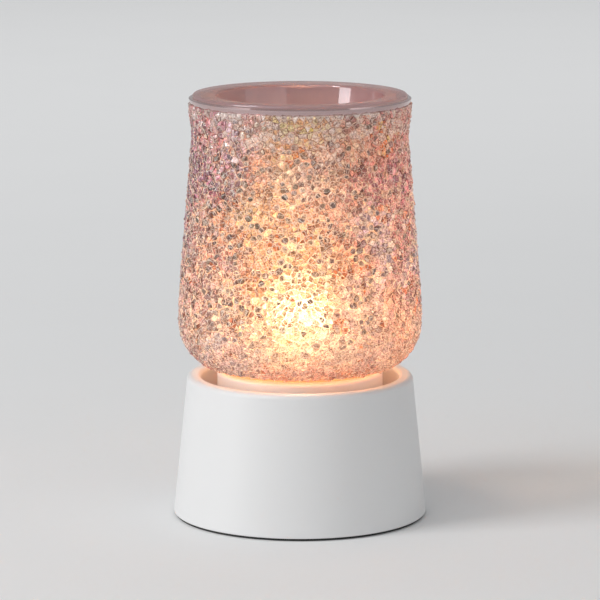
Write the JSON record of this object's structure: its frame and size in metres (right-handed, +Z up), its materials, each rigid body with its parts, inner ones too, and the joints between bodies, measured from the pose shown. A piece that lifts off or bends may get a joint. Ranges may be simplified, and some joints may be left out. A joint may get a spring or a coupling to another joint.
{
  "type": "wax warmer",
  "caption": "Table-top wax warmer: a waisted glass shade with a lift-off glass dish over a small lamp, plugged down into a round tapered white base.",
  "frame": {"origin": "centre of the foot, on the surface that the warmer stands on", "axes": "+Z up along the axis of the shade and the base; -Y is the front and +Y the rear, where the cord inlet is"},
  "size_m": [0.098, 0.098, 0.1639],
  "materials": {
    "base_white": "smooth satin white",
    "collar_white": "smooth satin white",
    "foot_rubber": "matt black",
    "plate_plastic": "fine moulded texture",
    "screw_steel": "zinc plated",
    "grommet_rubber": "matt black",
    "socket_plastic": "moulded, matt",
    "contact_brass": "stamped",
    "terminal_plastic": "moulded",
    "lead_brown": "insulation",
    "lead_blue": "insulation",
    "insert_plastic": "fine moulded texture",
    "blade_nickel": "nickel plated",
    "holder_ceramic": "unglazed",
    "gasket_silicone": "translucent white silicone",
    "shade_glass": "mosaic of small iridescent chips, mauve to amber",
    "ring_aluminium": "turned",
    "lamp_glass": "clear",
    "cap_brass": "pressed thread",
    "lamp_insulator": "black vitrite",
    "solder": "dull",
    "wire_nickel": "drawn",
    "filament_metal": "coiled, glowing when lit",
    "dish_glass": "smooth, mauve iridescent"
  },
  "bodies": {
    "base": {"base_shell": "base_white", "foot_ring": "foot_rubber", "base_plate": "plate_plastic", "base_screws": "screw_steel", "cord_gland": "grommet_rubber", "receptacle_body": "socket_plastic", "receptacle_back": "socket_plastic", "receptacle_screws": "screw_steel", "back_cover_screw": "screw_steel", "live_contact": "contact_brass", "neutral_contact": "contact_brass", "terminal_block": "terminal_plastic", "terminal_sleeves": "contact_brass", "terminal_screws": "screw_steel", "block_screw": "screw_steel", "base_lead_live": "lead_brown", "base_lead_neutral": "lead_blue"},
    "unit": {"lamp_collar": "collar_white", "plug_insert": "insert_plastic", "insert_screws": "screw_steel", "live_blade": "blade_nickel", "neutral_blade": "blade_nickel", "lamp_holder": "holder_ceramic", "holder_screws": "screw_steel", "screw_shell": "contact_brass", "centre_contact": "contact_brass", "unit_lead_live": "lead_brown", "unit_lead_neutral": "lead_blue", "shade_gasket": "gasket_silicone", "glass_shade": "shade_glass", "ring_washer": "gasket_silicone", "shade_ring": "ring_aluminium"},
    "bulb": {"bulb_glass": "lamp_glass", "bulb_cap": "cap_brass", "bulb_insulator": "lamp_insulator", "bulb_tip": "solder", "bulb_stem": "lamp_glass", "support_wires": "wire_nickel", "filament": "filament_metal"},
    "dish": {"wax_dish": "dish_glass"}
  },
  "joints": [
    {"name": "unit_lift", "type": "slide", "parent": "base", "child": "unit", "axis": [0, 0, 1], "range_m": [0, 0.048]},
    {"name": "bulb_turn", "type": "hinge", "parent": "unit", "child": "bulb", "pos_m": [0, 0, 0.05], "axis": [0, 0, 1], "range_deg": [0, 1080]},
    {"name": "dish_lift", "type": "slide", "parent": "unit", "child": "dish", "axis": [0, 0, 1], "range_m": [0, 0.03]}
  ]
}
